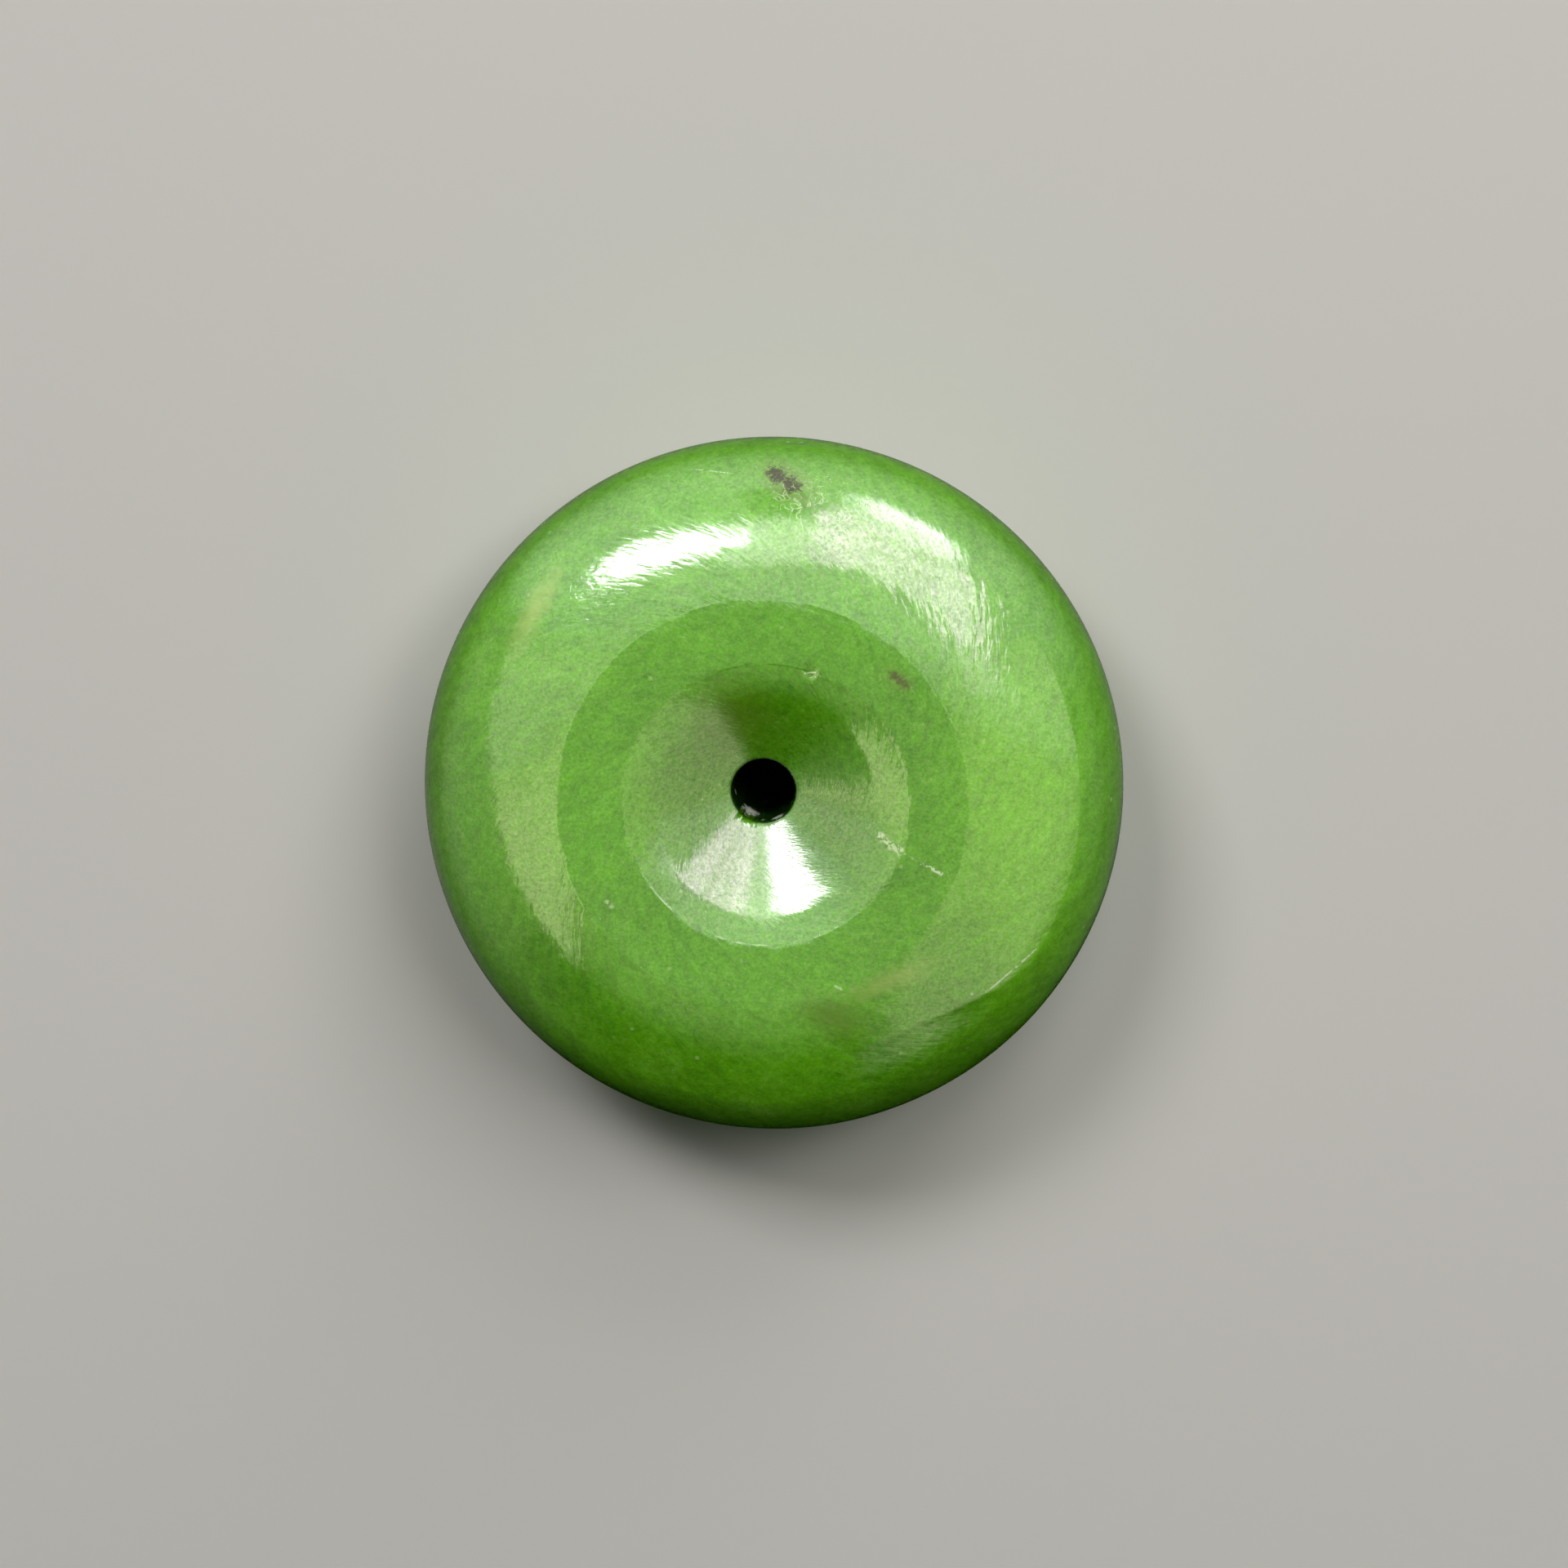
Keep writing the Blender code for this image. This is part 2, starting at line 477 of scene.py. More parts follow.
def jade_material():
    material = bpy.data.materials.new("jade_polished")
    material.use_nodes = True
    tree = material.node_tree
    net = Net(tree)
    shader = tree.nodes["Principled BSDF"]
    coords = net.node("ShaderNodeTexCoord")
    p = net.vec("SCALE", coords.outputs["Object"], scale=1000.0)
    charts, share, r = spiral_coords(net, p, 35.0)

    # --- body colour
    drift = net.noise(p, 0.16, 2.0, 0.5)
    cloud = net.noise(p, 0.55, 3.0, 0.55)
    felt = net.noise(p, 3.2, 3.0, 0.65)
    fibre = strokes(net, charts, share, 2.6, 0.7, 2.0, 0.6)
    colour = net.mix(
        net.step(drift, 0.32, 0.68), (0.090, 0.296, 0.0042), (0.112, 0.362, 0.0075)
    )
    colour = net.mix(
        net.math("MULTIPLY", net.step(cloud, 0.50, 0.78), 0.45), colour, (0.155, 0.400, 0.030)
    )
    colour = net.mix(
        net.math("MULTIPLY", net.step(cloud, 0.48, 0.26), 0.35), colour, (0.060, 0.250, 0.0060)
    )
    # painted shade: the colour grows darker towards the bore, over the funnel's hollow
    colour = net.mix(
        net.step(r, 1.6, 5.0, 0.62, 0.0), colour, (0.060, 0.195, 0.0040)
    )
    # painted light: broad lighter patches on the east and north west of the face, where the stone is more brightly
    # lit
    painted_light_east = blob(net, p, (9.3, -0.6, 7.8), (2.4, 6.4, 3.2), 6, 0.7, None, 0.2)
    colour = net.mix(net.math("MULTIPLY", painted_light_east, 0.80), colour, (0.160, 0.470, 0.0150))
    painted_light_north_west = blob(net, p, (-8.6, 5.0, 7.5), (3.2, 6.0, 5.0), 35, 0.9, None, 0.2)
    colour = net.mix(net.math("MULTIPLY", painted_light_north_west, 0.35), colour, (0.130, 0.420, 0.012))
    # painted light: lighter, greener bands across the land above and below the bore
    for centre, radii, share_of, tint in (
        ((-0.5, 6.2, 9.2), (5.0, 1.7, 2.5), 0.50, (0.112, 0.390, 0.0040)),
        ((0.3, -5.6, 9.2), (5.0, 1.7, 2.5), 0.45, (0.122, 0.385, 0.0130)),
    ):
        ring = blob(net, p, centre, radii, 0, 0.8, None, 0.2)
        colour = net.mix(net.math("MULTIPLY", ring, share_of), colour, tint)
    # painted shade: darker patches on the funnel's walls either side of the bore
    painted_shade_west_wall = blob(net, p, (-2.8, -0.5, 8.0), (1.8, 3.0, 3.0), 0, 0.9, None, 0.1)
    colour = net.mix(net.math("MULTIPLY", painted_shade_west_wall, 0.60), colour, (0.055, 0.160, 0.0040))
    painted_shade_east_wall = blob(net, p, (2.4, -1.3, 8.0), (1.8, 2.0, 3.0), 0, 0.9, None, 0.1)
    colour = net.mix(net.math("MULTIPLY", painted_shade_east_wall, 0.50), colour, (0.058, 0.165, 0.0060))
    # painted light: a paler tint on the outer rim, all round but its bottom
    painted_light_rim = net.math("MULTIPLY", net.step(r, 11.6, 12.9), net.step(net.split(p)[1], -7.0, 1.0))
    colour = net.mix(net.math("MULTIPLY", painted_light_rim, 0.28), colour, (0.120, 0.300, 0.035))
    grain = net.total(
        net.math("MULTIPLY", net.math("SUBTRACT", felt, 0.5), 0.65),
        net.math("MULTIPLY", net.math("SUBTRACT", fibre, 0.5), 0.62),
    )
    bright = net.math("ADD", 1.0, grain)
    colour = net.mix(1.0, colour, net.xyz(bright, bright, bright), "MULTIPLY")
    # the finest haze of the polish, which is neutral, added to the colour as a fine speckle of painted sheen
    painted_sheen = net.math("SUBTRACT", net.noise(p, 8.5, 2.0, 0.9), 0.5)
    sparkle = painted_sheen
    painted_sheen = net.math("ADD", net.math("MULTIPLY", painted_sheen, 0.17), net.math("MULTIPLY", net.math("SUBTRACT", felt, 0.5), 0.03))
    colour = net.vec("MAXIMUM", net.vec("ADD", colour, net.xyz(painted_sheen, painted_sheen, net.math("MULTIPLY", painted_sheen, 0.5))), (0.0015, 0.0015, 0.0015))

    # --- marks in the stone
    wobble = net.math("MULTIPLY", net.math("SUBTRACT", net.noise(p, 2.2, 2.0, 0.6), 0.5), 1.4)
    olive = blob(net, p, (2.45, -7.75, 9.0), (1.25, 0.62, 3.0), -28, 0.8, wobble)
    colour = net.mix(net.math("MULTIPLY", olive, 0.80), colour, (0.088, 0.205, 0.0020))
    vein = blob(net, p, (4.55, -6.35, 9.0), (1.6, 0.36, 2.0), 22, 0.8, wobble)
    colour = net.mix(net.math("MULTIPLY", vein, 0.85), colour, (0.225, 0.370, 0.060))
    yellow = blob(net, p, (-8.4, 6.9, 8.1), (1.3, 0.34, 2.0), 60, 0.9, wobble)
    colour = net.mix(net.math("MULTIPLY", yellow, 0.85), colour, (0.310, 0.490, 0.085))
    brown = blob(net, p, (-1.2, 3.1, 8.4), (1.2, 1.4, 1.5), 20, 0.9, wobble)
    colour = net.mix(net.math("MULTIPLY", brown, 0.55), colour, (0.105, 0.180, 0.010))
    torn = net.math("MULTIPLY", net.math("SUBTRACT", net.noise(p, 5.5, 3.0, 0.8), 0.5), 3.0)
    stain = blob(net, p, (0.66, 11.58, 7.6), (1.05, 0.50, 1.2), -38, 0.7, torn, 0.1)
    colour = net.mix(net.math("MULTIPLY", stain, 0.70), colour, (0.140, 0.165, 0.040))
    dull = None
    for centre, radii, turn in (((0.34, 11.80, 7.5), (0.46, 0.30, 0.8), -30), ((0.86, 11.46, 7.8), (0.42, 0.28, 0.8), -45)):
        dark = blob(net, p, centre, radii, turn, 0.22, torn, 0.55)
        colour = net.mix(net.math("MULTIPLY", dark, 0.92), colour, (0.030, 0.028, 0.006))
        dull = dark if dull is None else net.math("MAXIMUM", dull, dark)
    tan = blob(net, p, (4.80, 4.58, 9.2), (0.55, 0.36, 0.6), -30, 0.6, torn, 0.1)
    colour = net.mix(net.math("MULTIPLY", tan, 0.45), colour, (0.130, 0.190, 0.020))
    for centre, radii in (((4.64, 4.70, 9.2), (0.22, 0.16, 0.6)), ((4.93, 4.48, 9.2), (0.26, 0.16, 0.6))):
        spot = blob(net, p, centre, radii, -30, 0.6, torn, 0.3)
        colour = net.mix(net.math("MULTIPLY", spot, 0.75), colour, (0.068, 0.060, 0.010))

    # pale specks, and short light marks: some where the skin was bruised or scratched, some painted glints on two
    # chips and along the facet ridge at the lower right
    shred = net.math("SUBTRACT", net.noise(p, 5.5, 3.0, 0.6), 0.5)
    cell = net.cells(p, 1.15)
    rare = net.step(net.noise(p, 0.9, 1.0, 0.5), 0.50, 0.62)
    speck = net.math("MULTIPLY", net.step(net.math("ADD", cell, net.math("MULTIPLY", shred, 0.10)), 0.13, 0.05), rare)
    fleck = net.math("MULTIPLY", net.step(net.cells(p, 3.1), 0.16, 0.04), net.step(cloud, 0.45, 0.62))
    pale = net.math("MAXIMUM", net.math("MULTIPLY", speck, 0.62), net.math("MULTIPLY", fleck, 0.42))
    colour = net.mix(pale, colour, (0.33, 0.52, 0.16))
    # curly threads of paler mineral, most of them beside the dark grain
    curl = net.math("ABSOLUTE", net.math("SUBTRACT", net.noise(p, 2.6, 1.0, 0.7), 0.5))
    thread = net.step(curl, 0.022, 0.006)
    beside = blob(net, p, (2.0, 11.0, 7.9), (1.7, 1.1, 2.0), -20, 0.6, None, 0.3)
    patch = net.math("MAXIMUM", beside, net.math("MULTIPLY", net.step(cloud, 0.52, 0.66), 0.30))
    colour = net.mix(net.math("MULTIPLY", net.math("MULTIPLY", thread, patch), 0.55), colour, (0.30, 0.50, 0.14))
    dots = net.step(net.noise(p, 5.0, 1.0, 0.5), 0.38, 0.50)
    specked = net.step(net.noise(p, 8.0, 1.0, 0.5), 0.44, 0.53)
    ragged = net.math("MULTIPLY", shred, 2.2)
    scratch_and_glint = None
    for a, b, width, keep, strength in (
        ((-3.95, -3.25, 9.02), (-3.30, -3.95, 9.02), 0.030, specked, 0.70),
        ((1.60, -4.85, 9.02), (3.20, -4.05, 9.02), 0.026, dots, 0.60),
        ((5.00, -1.70, 9.08), (6.35, -2.42, 9.2), 0.060, specked, 0.85),
        ((4.15, -1.12, 8.90), (4.85, -1.62, 9.05), 0.150, specked, 0.75),
        # the next mark is a painted glint: dotted sparkles along the facet ridge at the lower right
        ((8.00, -6.97, 8.25), (9.92, -5.32, 7.90), 0.040, dots, 0.90),
        ((7.50, -7.02, 8.45), (7.62, -6.96, 8.45), 0.060, None, 1.0),
        ((-9.03, 7.79, 7.37), (-7.69, 8.85, 7.57), 0.038, None, 0.55),
        ((-10.95, 2.00, 7.85), (-10.92, 0.20, 7.90), 0.040, specked, 0.35),
        ((-9.35, 7.05, 7.60), (-9.10, 7.35, 7.60), 0.050, specked, 0.60),
        ((-6.30, 5.70, 8.90), (-2.60, 7.05, 9.10), 0.022, specked, 0.40),
        ((-10.11, -1.10, 8.51), (-9.80, -1.62, 8.61), 0.045, None, 0.60),
        ((-3.27, 11.98, 6.70), (-0.88, 11.79, 7.47), 0.030, specked, 0.55),
        ((-5.72, -3.60, 9.2), (-5.58, -3.72, 9.2), 0.085, specked, 0.50),
        ((-2.53, -0.02, 7.81), (-2.46, -0.06, 7.81), 0.050, None, 0.85),
        ((1.90, 0.09, 7.49), (1.94, 0.07, 7.49), 0.045, None, 0.85),
        # the next three marks are painted glints: a ring round the chip on the lip, and the chip on the top edge
        ((1.42, 4.80, 9.08), (1.80, 4.84, 9.10), 0.028, None, 0.85),
        ((1.58, 4.64, 9.08), (1.98, 4.70, 9.10), 0.026, specked, 0.80),
        ((0.60, 12.90, 5.40), (1.10, 12.88, 5.40), 0.055, None, 0.85),
        ((2.55, -6.60, 9.18), (2.75, -6.70, 9.18), 0.050, None, 0.55),
    ):
        one = net.math("MULTIPLY", dash(net, p, a, b, width, ragged, keep), strength)
        scratch_and_glint = one if scratch_and_glint is None else net.math("MAXIMUM", scratch_and_glint, one)
    colour = net.mix(scratch_and_glint, colour, (0.62, 0.72, 0.46))

    # the bore: painted shade makes it dark inside; the pale blobs at its chipped lower left are painted glints
    bore_r = net.vec("LENGTH", net.vec("MULTIPLY", net.vec("SUBTRACT", p, (*BORE_SHIFT, 0.0)), (1.0, 1.0, 0.0)))
    inside = net.step(bore_r, BORE_R + 0.12, BORE_R + 0.02)
    colour = net.mix(net.math("MULTIPLY", inside, 0.95), colour, (0.005, 0.026, 0.003))
    # painted glints: near-white blobs on the chips of the bore's mouth
    for centre, radii, turn in (
        ((-0.76, -0.71, 5.75), (0.30, 0.24, 0.50), -42),
        ((0.36, -0.76, 6.95), (0.20, 0.10, 0.30), 20),
        ((-0.21, -1.03, 6.95), (0.07, 0.14, 0.30), 0),
        ((-1.28, 0.02, 6.0), (0.10, 0.10, 0.16), 0),
        ((-2.35, 0.00, 7.6), (0.05, 0.10, 0.30), 20),
    ):
        painted_chip_glint = blob(net, p, centre, radii, turn, 0.4, torn, 0.35)
        colour = net.mix(net.math("MULTIPLY", painted_chip_glint, 0.95), colour, (0.88, 0.90, 0.80))

    net.feed(shader.inputs["Base Color"], colour)

    # --- surface
    broad = strokes(net, charts, share, 3.0, 0.85, 2.0, 0.5)
    wavy = blob(net, p, (7.6, 6.0, 8.0), (4.4, 2.5, 4.0), -48, 0.5, None, 0.3)
    hollow = net.step(r, 5.0, 3.4)
    upper_left = blob(net, p, (-4.6, 8.4, 8.4), (4.6, 2.4, 4.0), 32, 0.5, None, 0.3)
    pitted = blob(net, p, (-6.9, 6.9, 8.5), (1.9, 1.5, 4.0), 40, 0.7, None, 0.2)
    pits = net.step(net.noise(p, 4.6, 0.0, 0.5), 0.70, 0.44)
    height_of = net.total(2.1, net.math("MULTIPLY", wavy, 4.2), net.math("MULTIPLY", hollow, -1.1))
    fine = strokes(net, charts, share, 6.5, 1.4, 2.0, 0.5)
    peel = net.noise(p, 1.6, 1.0, 0.5)
    height = net.total(
        net.math("MULTIPLY", broad, height_of),
        net.math("MULTIPLY", fine, net.total(1.1, net.math("MULTIPLY", upper_left, 1.0), net.math("MULTIPLY", wavy, 1.0), net.math("MULTIPLY", hollow, -0.55))),
        net.math("MULTIPLY", net.math("MULTIPLY", pits, pitted), 0.75),
        net.math("MULTIPLY", net.math("MULTIPLY", thread, beside), 1.3),
        net.math("MULTIPLY", peel, 2.4),
    )
    bump = net.node("ShaderNodeBump")
    bump.inputs["Strength"].default_value = 1.0
    bump.inputs["Distance"].default_value = 0.0000042
    net.feed(bump.inputs["Height"], height)
    tree.links.new(bump.outputs[0], shader.inputs["Normal"])
    tree.links.new(bump.outputs[0], shader.inputs["Coat Normal"])

    haze = net.math("ADD", net.step(fine, 0.35, 0.75, 0.13, 0.26), net.math("MULTIPLY", scratch_and_glint, 0.2))
    net.feed(shader.inputs["Roughness"], haze)
    shader.inputs["Metallic"].default_value = 0.0
    shader.inputs["IOR"].default_value = 1.62
    shader.inputs["Specular IOR Level"].default_value = 0.25
    coat = net.math("ADD", 0.70, net.math("MULTIPLY", sparkle, 2.5))
    coat = net.math("MULTIPLY", coat, net.math("SUBTRACT", 1.0, net.math("MULTIPLY", dull, 0.7)))
    coat = net.math("MINIMUM", net.math("MAXIMUM", coat, 0.05), 1.0)
    net.feed(shader.inputs["Coat Weight"], coat)
    shader.inputs["Coat Roughness"].default_value = 0.05
    shader.inputs["Coat IOR"].default_value = 1.5
    shader.inputs["Subsurface Weight"].default_value = 0.35
    shader.inputs["Subsurface Radius"].default_value = (0.7, 1.3, 0.25)
    shader.inputs["Subsurface Scale"].default_value = 0.001
    return material


stone = bpy.data.objects.new("jade_stone", donut_mesh())
scene.collection.objects.link(stone)
stone.data.materials.append(jade_material())
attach(stone, "root")
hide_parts("jade_donut")


# ---------------------------------------------------------------- floor, camera, light


def clear_behind(net, shader):
    """Lets a sheet of the surroundings show from the front only, so that the stone can be seen from below."""
    clear = net.node("ShaderNodeBsdfTransparent")
    side = net.node("ShaderNodeNewGeometry")
    join = net.node("ShaderNodeMixShader")
    net.feed(join.inputs[0], side.outputs["Backfacing"])
    net.feed(join.inputs[1], shader.outputs[0])
    net.feed(join.inputs[2], clear.outputs[0])
    net.feed(net.tree.nodes["Material Output"].inputs["Surface"], join.outputs[0])


def floor():
    mesh = bpy.data.meshes.new("floor")
    size = 1.2
    mesh.from_pydata(
        [(-size, -size, 0), (size, -size, 0), (size, size, 0), (-size, size, 0)],
        [],
        [(0, 1, 2, 3)],
    )
    material = bpy.data.materials.new("floor_pale")
    material.use_nodes = True
    net = Net(material.node_tree)
    shader = material.node_tree.nodes["Principled BSDF"]
    shader.inputs["Roughness"].default_value = 0.9
    shader.inputs["Specular IOR Level"].default_value = 0.2
    shader.inputs["Base Color"].default_value = (0.50, 0.49, 0.47, 1)
    clear_behind(net, shader)
    mesh.materials.append(material)
    made = bpy.data.objects.new("floor", mesh)
    made.location = (0, 0, -0.00002)
    made.visible_glossy = False  # the stone mirrors the dim room below it, as on the dark cloth
    made.visible_diffuse = False
    scene.collection.objects.link(made)


def shadow_under_bore():
    """Painted shade below the bore: a near-black disc on the pale floor, so the bore opens onto black, as on the dark
    cloth.
    """
    bm = bmesh.new()
    bmesh.ops.create_circle(bm, cap_ends=True, segments=48, radius=0.0028)
    if bm.faces[:][0].normal.z < 0:
        bmesh.ops.reverse_faces(bm, faces=bm.faces[:])
    mesh = bpy.data.meshes.new("shadow_disc")
    bm.to_mesh(mesh)
    bm.free()
    material = bpy.data.materials.new("shadow_dark")
    material.use_nodes = True
    shader = material.node_tree.nodes["Principled BSDF"]
    shader.inputs["Base Color"].default_value = (0.004, 0.004, 0.004, 1)
    shader.inputs["Roughness"].default_value = 1.0
    shader.inputs["Specular IOR Level"].default_value = 0.0
    clear_behind(Net(material.node_tree), shader)
    mesh.materials.append(material)
    made = bpy.data.objects.new("shadow_disc", mesh)
    made.location = (BORE_SHIFT[0] * MM, BORE_SHIFT[1] * MM, -0.000012)
    scene.collection.objects.link(made)


def direction(azimuth, elevation):
    """Unit vector; azimuth runs anticlockwise from +X."""
    a, e = math.radians(azimuth), math.radians(elevation)
    return Vector((math.cos(a) * math.cos(e), math.sin(a) * math.cos(e), math.sin(e)))


def window(name, azimuth, elevation, wide, high, roll, radiance, tint, away=0.45):
    """A soft rectangle of light, wide by high degrees across as the stone sees it."""
    light = bpy.data.lights.new(name, "AREA")
    light.shape = "RECTANGLE"
    light.size = 2 * away * math.tan(math.radians(wide / 2))
    light.size_y = 2 * away * math.tan(math.radians(high / 2))
    light.energy = radiance * math.pi * light.size * light.size_y
    light.color = tint
    made = bpy.data.objects.new(name, light)
    towards = direction(azimuth, elevation)
    made.location = towards * away + Vector((0, 0, 0.0046))
    up = Vector((0, 0, 1))
    side = up.cross(towards).normalized()
    up = towards.cross(side).normalized()
    turn = Matrix((side, up, towards)).transposed()
    made.rotation_mode = "QUATERNION"
    made.rotation_quaternion = (
        turn @ Matrix.Rotation(math.radians(roll), 3, "Z")
    ).to_quaternion()
    made.visible_camera = False
    scene.collection.objects.link(made)
    return made


def studio():
    """Four soft window-shaped lights that shade the stone. Their mirror images on it come from around()."""
    for made in (
        window("window_a", 122, 46, 21, 15, -35, 16.5, (1.0, 0.985, 0.97)),
        window("window_b1", 71, 49, 21, 34, 0, 3.5, (1.0, 0.99, 0.95)),
        window("window_b2", 36, 51, 15, 30, 8, 8.0, (1.0, 0.99, 0.95)),
        window("window_b_low", 63, 23, 24, 26, 0, 4.6, (1.0, 1.0, 0.98)),
    ):
        made.visible_glossy = False


# What the polish mirrors. Azimuths run anticlockwise from +X, with those past 270 given as under -90.
# Each entry: colour, left and right edge in azimuth (as (azimuth at elevation 40, change for each degree up, softness)),
# lower and upper edge in elevation (as (elevation, softness)).
MIRRORED = {
    "wall_far": ((2.8, 2.8, 2.6), (20, 0, 26), (156, 0.1, 8), (-13, 34), (95, 1)),
    "cloth": ((0.14, 0.14, 0.12), (-40, 0, 20), (222, 0, 20), (-200, 1), (-8, 14)),
    "between": ((7.4, 7.4, 6.6), (80, 0, 5), (110, 0, 6), (43, 4), (67, 5)),
    "east_top": ((4.6, 4.6, 4.0), (9, 0, 6), (34, 0, 9), (49, 5), (70, 6)),
    "corner": ((3.4, 3.4, 3.0), (22, 0, 12), (153, 0, 6), (58, 12), (88, 6)),
    "wall_east": ((2.8, 2.8, 2.2), (-4, 0, 9), (30, 0, 8), (20, 6), (88, 6)),
    "wall_right": ((2.05, 2.05, 1.35), (-72, 0, 7), (8, 0, 10), (21, 6), (80, 6)),
    "low_east": ((0.60, 0.60, 0.5), (-24, 0, 22), (40, 0, 20), (-16, 18), (40, 10)),
    "wall_north_west": ((2.75, 2.75, 2.1), (152, 0, 10), (189, 0, 9), (27, 3), (80, 8)),
    "wall_left": ((3.6, 3.6, 2.2), (186, 0, 10), (227, -0.25, 4.0), (33, 3), (75, 7)),
    "low_west": ((1.0, 1.0, 0.8), (146, 0, 12), (212, 0, 32), (-12, 24), (40, 8)),
    "overhead": ((1.08, 1.08, 0.85), (-100, 0, 1), (280, 0, 1), (62, 12), (96, 1)),
    "near": ((0.75, 0.75, 0.5), (-130, 0, 10), (-60, 0, 14), (46, 14), (95, 1)),
    "near_left": ((0.95, 0.95, 0.65), (220, 0, 14), (280, 0, 14), (46, 14), (95, 1)),
    "window_b": ((12.0, 9.6, 11.2), (34.5, -0.47, 3.0), (81.5, 0.2, 2.5), (33, 2), (63, 3)),
    "window_b_low": ((18.5, 18.0, 18.0), (48, -0.15, 4), (74, 0, 7), (13, 5), (34, 2.5)),
    "window_a": ((32.0, 30.0, 32.5), (100.5, 0, 4.5), (137.5, -0.3, 4), (36, 3.5), (56, 3)),
}
FILL = (0.16, 0.17, 0.16)  # what little the room adds to the shading, most of it from below
ROOM_SEEN = (0.62, 0.61, 0.59)


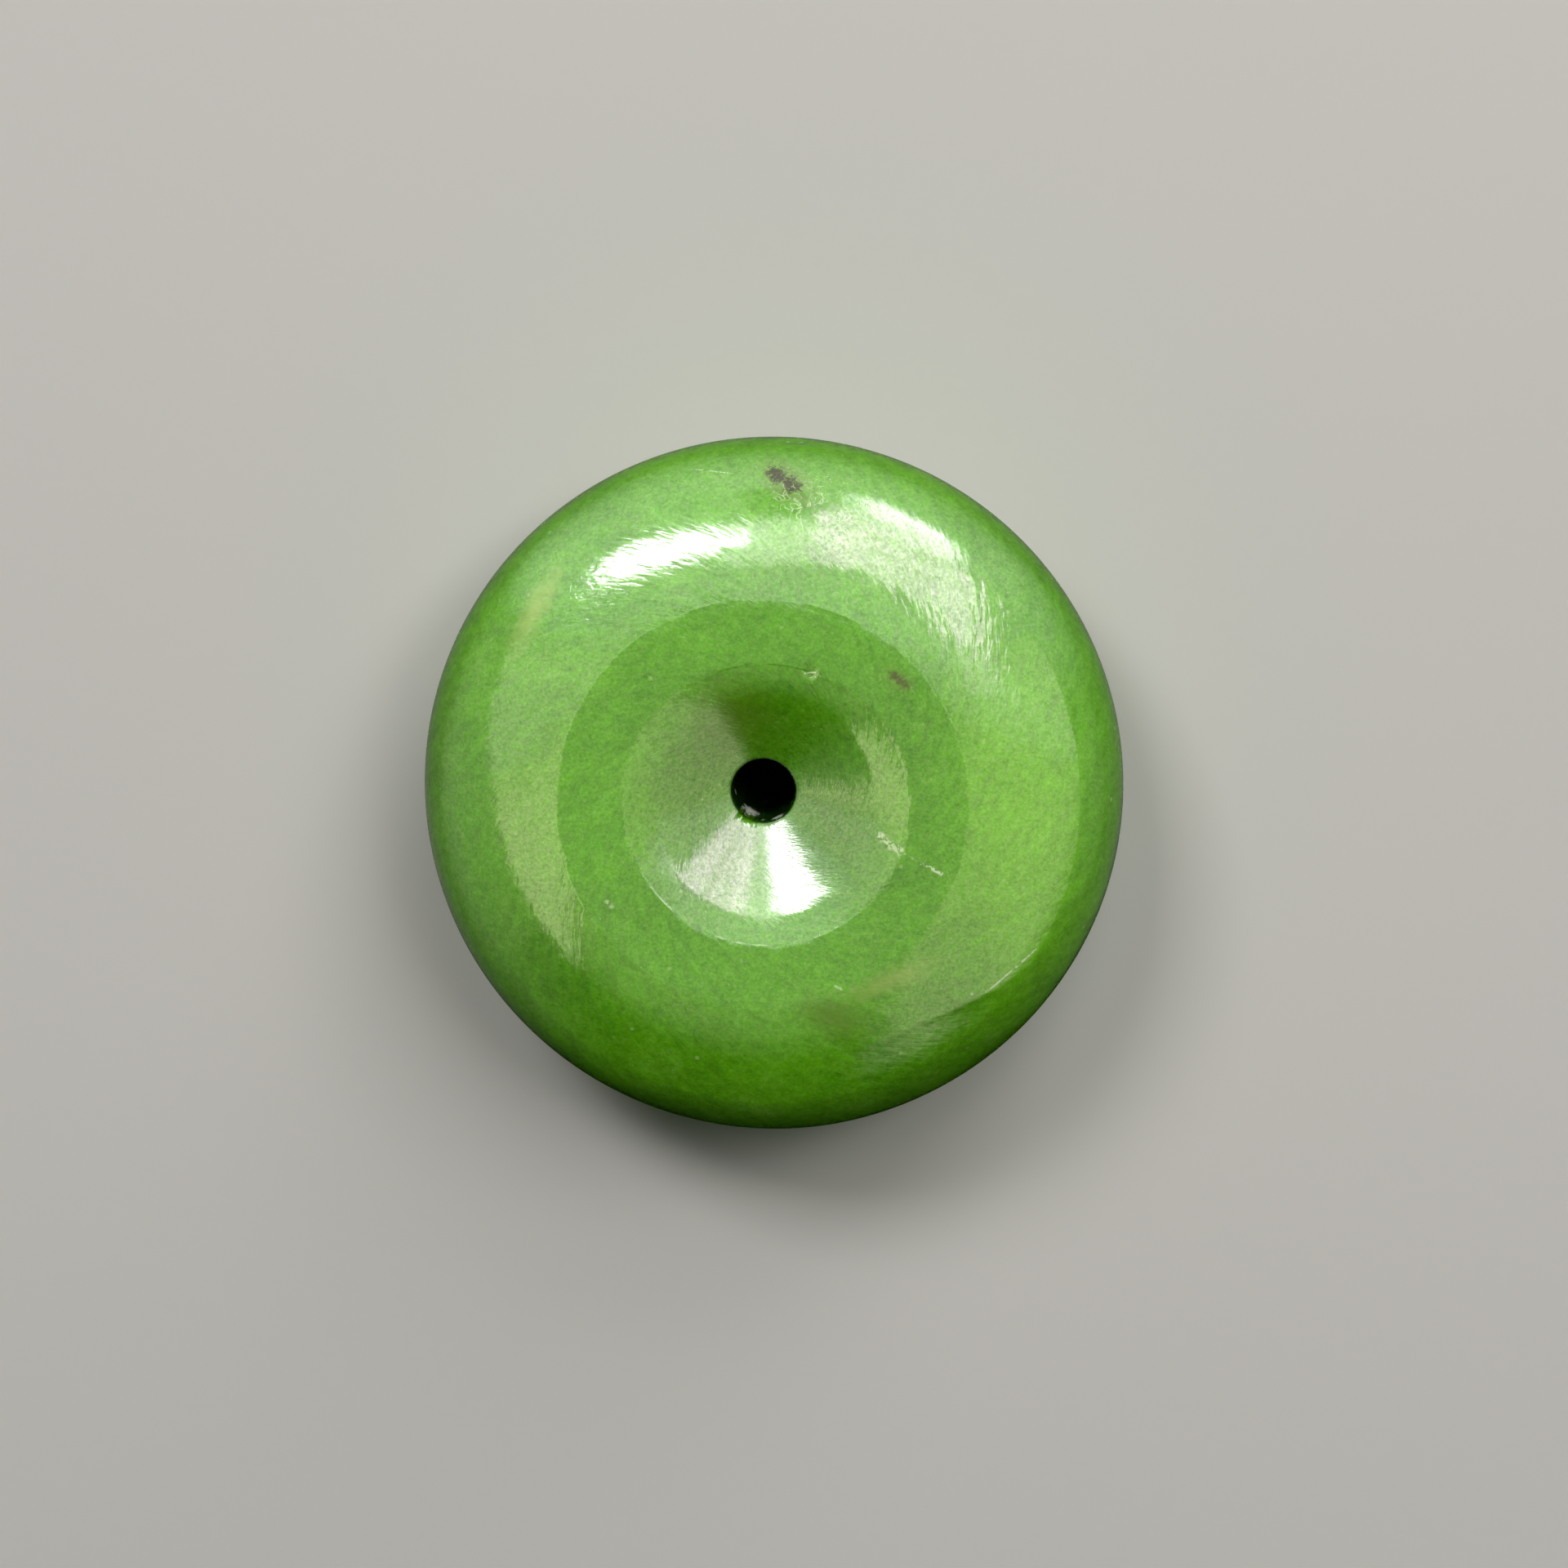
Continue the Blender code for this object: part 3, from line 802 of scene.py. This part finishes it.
def around():
    """The room: windows and pale walls beyond the stone and to its sides, dim where someone leans over it."""
    world = bpy.data.worlds.new("room")
    scene.world = world
    world.use_nodes = True
    world.cycles.sampling_method = "NONE"
    net = Net(world.node_tree)
    back = world.node_tree.nodes["Background"]
    coords = net.node("ShaderNodeTexCoord")
    x, y, z = net.split(coords.outputs["Generated"])
    deg = 180 / math.pi
    # azimuth from -90 to 270, so that the cut lies in the dim part
    az = net.math("ARCTAN2", x, net.math("MULTIPLY", y, -1.0))
    az = net.math("ADD", az, net.math("MULTIPLY", net.math("LESS_THAN", az, 0.0), 2 * math.pi))
    az = net.math("SUBTRACT", net.math("MULTIPLY", az, deg), 90.0)
    el = net.math("MULTIPLY", net.math("ARCSINE", z), deg)
    above = net.math("SUBTRACT", el, 40.0)

    def edge(value, at, soft, rising):
        near, far = (at - soft, at + soft) if rising else (at + soft, at - soft)
        return net.step(value, near, far)

    light = None
    for name, (colour, left, right, low, high) in MIRRORED.items():
        mask = net.math("MULTIPLY", edge(el, *low, True), edge(el, *high, False))
        for (at, lean, soft), rising in ((left, True), (right, False)):
            shifted = net.math("SUBTRACT", az, net.math("MULTIPLY", above, lean)) if lean else az
            mask = net.math("MULTIPLY", mask, edge(shifted, at, soft, rising))
        if name == "window_a":
            # its upper edge falls to the right, and so does its lower edge
            slant = net.math("ADD", el, net.math("MULTIPLY", net.math("SUBTRACT", az, 122.0), 0.42))
            mask = net.math("MULTIPLY", mask, edge(slant, 39.5, 3.5, True))
            mask = net.math("MULTIPLY", mask, edge(slant, 54.5, 3.0, False))
        if name == "window_b":
            # leaves and bars beyond the glass
            beyond = net.noise(coords.outputs["Generated"], 20.0, 1.0, 0.6)
            mask = net.math("MULTIPLY", mask, net.step(beyond, 0.38, 0.60, 0.56, 1.20))
        if name in ("wall_left", "wall_north_west"):
            # its lower edge rises to the left
            slant = net.math("SUBTRACT", el, net.math("MULTIPLY", net.math("SUBTRACT", az, 190.0), 0.22))
            mask = net.math("MULTIPLY", mask, edge(slant, 32.5, 2.0, True))
        one = net.vec("SCALE", colour, scale=mask)
        one.node.name = name
        light = one if light is None else net.vec("MAXIMUM", light, one)
    # the bar between the two panes of window_b, and a bluish pane beside it
    bar = net.math("MULTIPLY", edge(az, 52.5, 1.5, True), edge(az, 57.5, 1.5, False))
    bar = net.math("MULTIPLY", bar, edge(el, 36, 2, True))
    light = net.mix(net.math("MULTIPLY", bar, 0.30), light, (0.0, 0.0, 0.0))
    # a dark pillar between the two windows
    pillar = net.math("MULTIPLY", edge(az, 87.0, 2.0, True), edge(az, 98.5, 2.0, False))
    pillar = net.math("MULTIPLY", pillar, net.math("MULTIPLY", edge(el, 28, 3, True), edge(el, 42, 2, False)))
    light = net.mix(net.math("MULTIPLY", pillar, 0.55), light, (0.0, 0.0, 0.0))
    below = net.math("MULTIPLY", net.step(el, 10.0, -25.0, 0.35, 1.7), net.step(y, -0.2, 0.9, 1.0, 1.3))
    path = net.node("ShaderNodeLightPath")
    net.feed(back.inputs["Color"], light)
    fill, seen = net.node("ShaderNodeBackground"), net.node("ShaderNodeBackground")
    net.feed(fill.inputs["Color"], net.vec("SCALE", FILL, scale=below))
    seen.inputs["Color"].default_value = (*ROOM_SEEN, 1)
    shading, showing = net.node("ShaderNodeMixShader"), net.node("ShaderNodeMixShader")
    net.feed(shading.inputs[0], path.outputs["Is Diffuse Ray"])
    net.feed(shading.inputs[1], back.outputs[0])
    net.feed(shading.inputs[2], fill.outputs[0])
    net.feed(showing.inputs[0], path.outputs["Is Camera Ray"])
    net.feed(showing.inputs[1], shading.outputs[0])
    net.feed(showing.inputs[2], seen.outputs[0])
    net.feed(world.node_tree.nodes["World Output"].inputs["Surface"], showing.outputs[0])


def camera():
    """Close above the stone and 9.4 degrees off its axis, looking from the upper side."""
    lean, away = math.radians(9.35), 0.130
    plan = Vector((0.337, 0.941)).normalized()
    back = Vector((plan.x * math.sin(lean), plan.y * math.sin(lean), math.cos(lean)))
    up = (Vector((0, 1, 0)) - back * back.y).normalized()
    right = up.cross(back)
    data = bpy.data.cameras.new("camera")
    data.lens, data.sensor_width = 80.09, 36.0
    data.clip_start, data.clip_end = 0.005, 10.0
    made = bpy.data.objects.new("camera", data)
    pixel = 36.0 / 80.09 / 1920 * away
    aim = right * (13.9 * pixel) + up * (2.9 * pixel)
    made.location = Vector((0, 0, 0.0046)) + back * away + aim
    made.rotation_mode = "QUATERNION"
    made.rotation_quaternion = Matrix((right, up, back)).transposed().to_quaternion()
    scene.collection.objects.link(made)
    scene.camera = made


floor()
shadow_under_bore()
studio()
around()
camera()
scene.view_settings.view_transform = "Standard"
scene.cycles.use_denoising = True
scene.cycles.max_bounces = 4
scene.cycles.diffuse_bounces = 1
scene.cycles.glossy_bounces = 2
scene.cycles.denoiser = "OPENIMAGEDENOISE"

bpy.context.view_layer.update()
